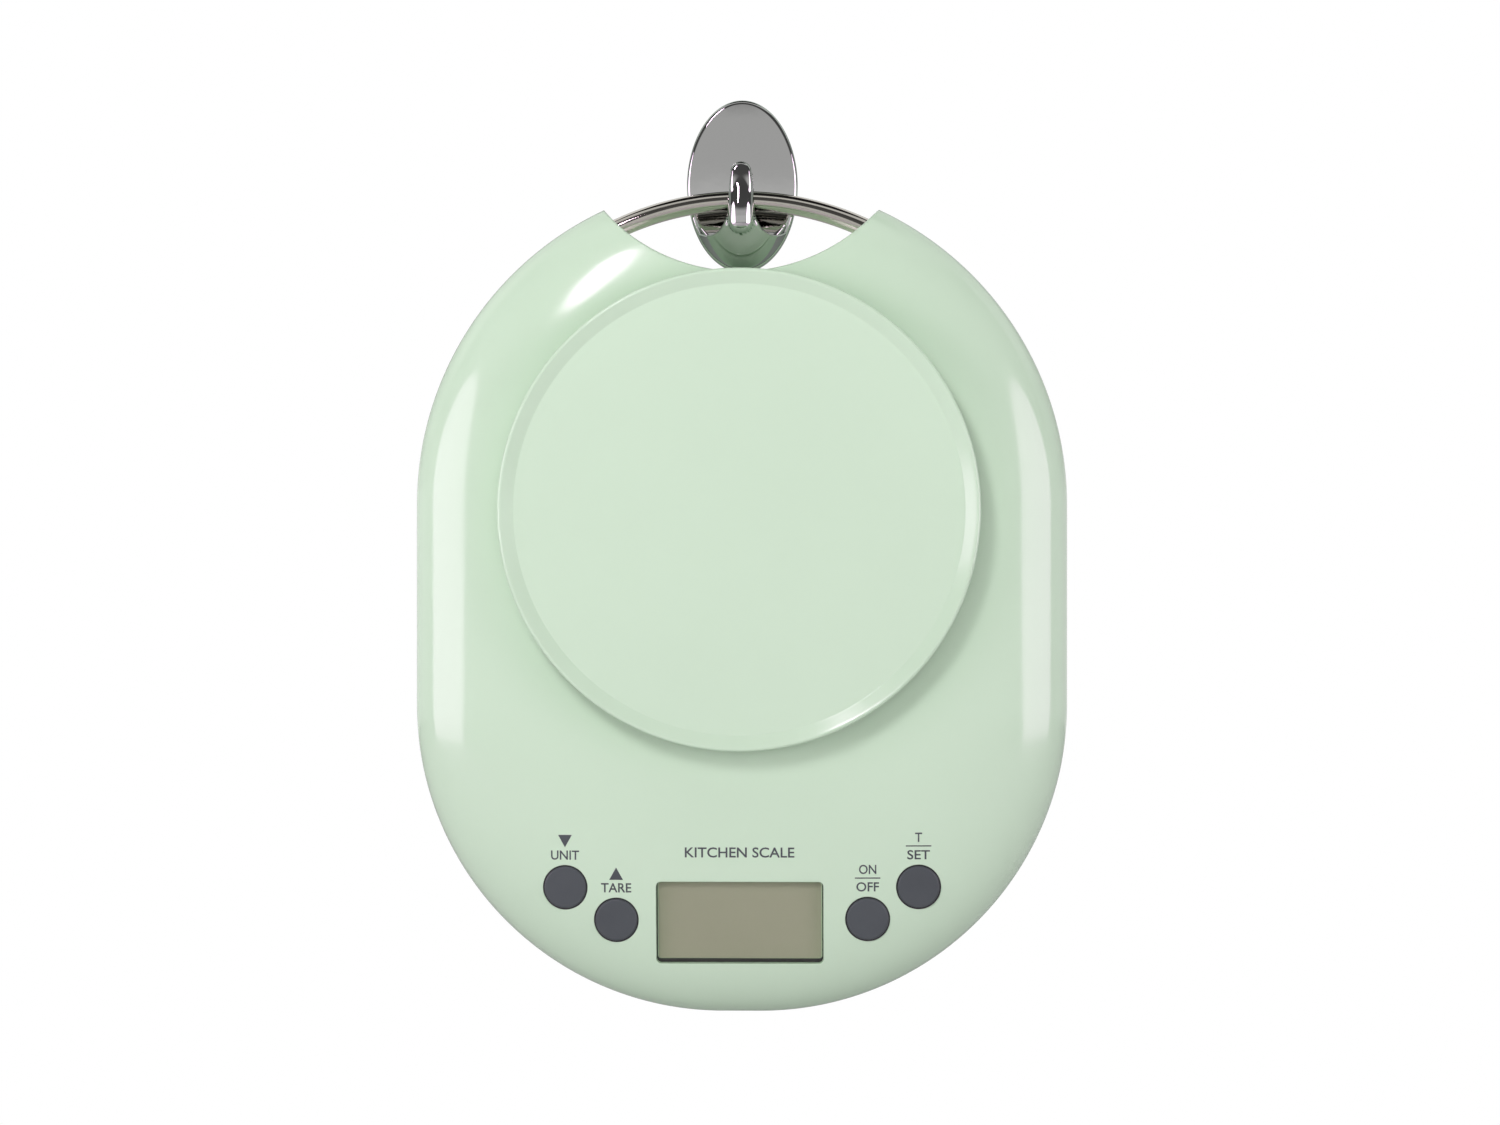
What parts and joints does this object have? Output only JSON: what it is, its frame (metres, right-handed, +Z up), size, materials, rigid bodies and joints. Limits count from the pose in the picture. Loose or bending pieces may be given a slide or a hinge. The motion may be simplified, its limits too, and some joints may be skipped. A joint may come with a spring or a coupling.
{
  "type": "digital kitchen scale",
  "caption": "Slim round-topped digital kitchen scale with a round weighing platform, blank display and push buttons, hanging by its bent steel bar on a chromed adhesive wall hook.",
  "frame": {"origin": "the middle of the wall hook's adhesive face, on the wall", "axes": "+Z up as it hangs, -Y towards the front, +Y into the wall, +X to the right seen from the front"},
  "size_m": [0.186, 0.036, 0.2608],
  "materials": {
    "chrome_plate": "bright chrome on a zinc casting, mirror smooth",
    "adhesive_foam": "white closed-cell foam tape",
    "polished_steel": "polished stainless steel rod with fine draw marks",
    "mint_gloss": "mint green moulded ABS, glossy",
    "mint_satin": "mint green moulded ABS, fine satin back",
    "grey_button": "slate grey moulded plastic, satin",
    "clear_lens": "clear acrylic lens",
    "lcd_grey": "grey-olive reflective LCD glass, blank",
    "black_plastic": "black moulded plastic",
    "white_plastic": "natural white moulded plastic",
    "board_green": "green solder mask on glass-fibre board",
    "zinc_steel": "zinc-plated steel",
    "spring_nickel": "nickel-plated spring steel",
    "load_cell_aluminium": "milled aluminium alloy",
    "gauge_coating": "soft white silicone coating",
    "foot_rubber": "dark grey rubber",
    "battery_jacket": "printed steel can, plain",
    "wire_jacket": "PVC-insulated stranded lead",
    "flex_film": "flexible printed film"
  },
  "bodies": {
    "wall_hook": {"hook_shell": "chrome_plate", "adhesive_pad": "adhesive_foam"},
    "scale": {"hanging_bar": "polished_steel", "bar_clamp_left": "white_plastic", "bar_clamp_right": "white_plastic", "bar_clamp_screws": "zinc_steel", "top_housing": "mint_gloss", "bottom_housing": "mint_satin", "battery_1": "battery_jacket", "battery_2": "battery_jacket", "lcd_window": "clear_lens", "lcd_panel": "lcd_grey", "lcd_holder": "black_plastic", "lcd_ribbon": "flex_film", "main_pcb": "board_green", "controller_chip": "black_plastic", "amplifier_chip": "black_plastic", "buzzer": "black_plastic", "tact_switches": "black_plastic", "load_cell": "load_cell_aluminium", "strain_gauges": "gauge_coating", "load_cell_base_spacer": "zinc_steel", "load_cell_wires": "wire_jacket", "battery_wires": "wire_jacket", "housing_screws": "zinc_steel", "pcb_screws": "zinc_steel", "load_cell_base_screws": "zinc_steel", "rubber_feet": "foot_rubber", "battery_positive_contact": "spring_nickel", "battery_negative_contact": "spring_nickel", "battery_bridge_contact": "spring_nickel"},
    "platform": {"platform": "mint_gloss", "platform_carrier": "white_plastic", "carrier_screws": "zinc_steel", "load_cell_top_spacer": "zinc_steel", "load_cell_top_screws": "zinc_steel"},
    "battery_door": {"battery_cover": "mint_satin"},
    "button_unit": {"button_unit": "grey_button", "switch_plunger_unit": "white_plastic"},
    "button_tare": {"button_tare": "grey_button", "switch_plunger_tare": "white_plastic"},
    "button_on_off": {"button_on_off": "grey_button", "switch_plunger_on_off": "white_plastic"},
    "button_set": {"button_set": "grey_button", "switch_plunger_set": "white_plastic"}
  },
  "joints": [
    {"name": "scale_tilt", "type": "hinge", "parent": "wall_hook", "child": "scale", "pos_m": [0, -0.0105, -0.0046], "axis": [-1, 0, 0], "range_deg": [0, 80]},
    {"name": "platform_press", "type": "slide", "parent": "scale", "child": "platform", "axis": [0, 1, 0], "range_m": [0, 0.0005], "stiffness_N_per_m": 6000},
    {"name": "battery_door_hinge", "type": "hinge", "parent": "scale", "child": "battery_door", "pos_m": [0, -0.0034, -0.1436], "axis": [1, 0, 0], "range_deg": [0, 70]},
    {"name": "press_unit", "type": "slide", "parent": "scale", "child": "button_unit", "axis": [0, 1, 0], "range_m": [0, 0.0005], "stiffness_N_per_m": 1500},
    {"name": "press_tare", "type": "slide", "parent": "scale", "child": "button_tare", "axis": [0, 1, 0], "range_m": [0, 0.0005], "stiffness_N_per_m": 1500},
    {"name": "press_on_off", "type": "slide", "parent": "scale", "child": "button_on_off", "axis": [0, 1, 0], "range_m": [0, 0.0005], "stiffness_N_per_m": 1500},
    {"name": "press_set", "type": "slide", "parent": "scale", "child": "button_set", "axis": [0, 1, 0], "range_m": [0, 0.0005], "stiffness_N_per_m": 1500}
  ]
}
